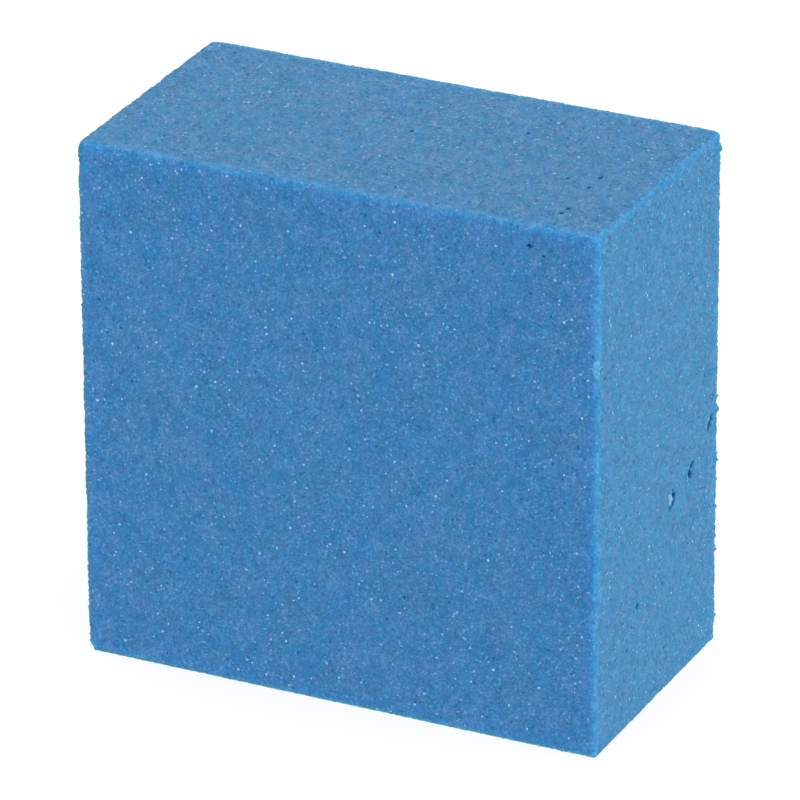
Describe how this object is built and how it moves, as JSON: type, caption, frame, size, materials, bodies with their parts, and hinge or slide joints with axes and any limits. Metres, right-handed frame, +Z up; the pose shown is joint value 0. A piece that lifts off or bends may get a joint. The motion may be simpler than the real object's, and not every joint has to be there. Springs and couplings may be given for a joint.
{
  "type": "clay bar",
  "caption": "Square-faced block of firm grit-filled compound, half as thick as it is wide, rubbed by hand over a wet panel to lift bonded dirt.",
  "frame": {"origin": "centre of the narrow face that the block stands on", "axes": "+Z up as it stands, +X to the right along its width, -Y out of the wide front face"},
  "size_m": [0.0502, 0.0262, 0.05],
  "materials": {
    "compound": "matt, gritty, slightly translucent at its edges",
    "grit": "pale mineral grains, some of them bright"
  },
  "bodies": {
    "root": {"clay_block": "compound", "abrasive_grit": "grit"}
  },
  "joints": []
}
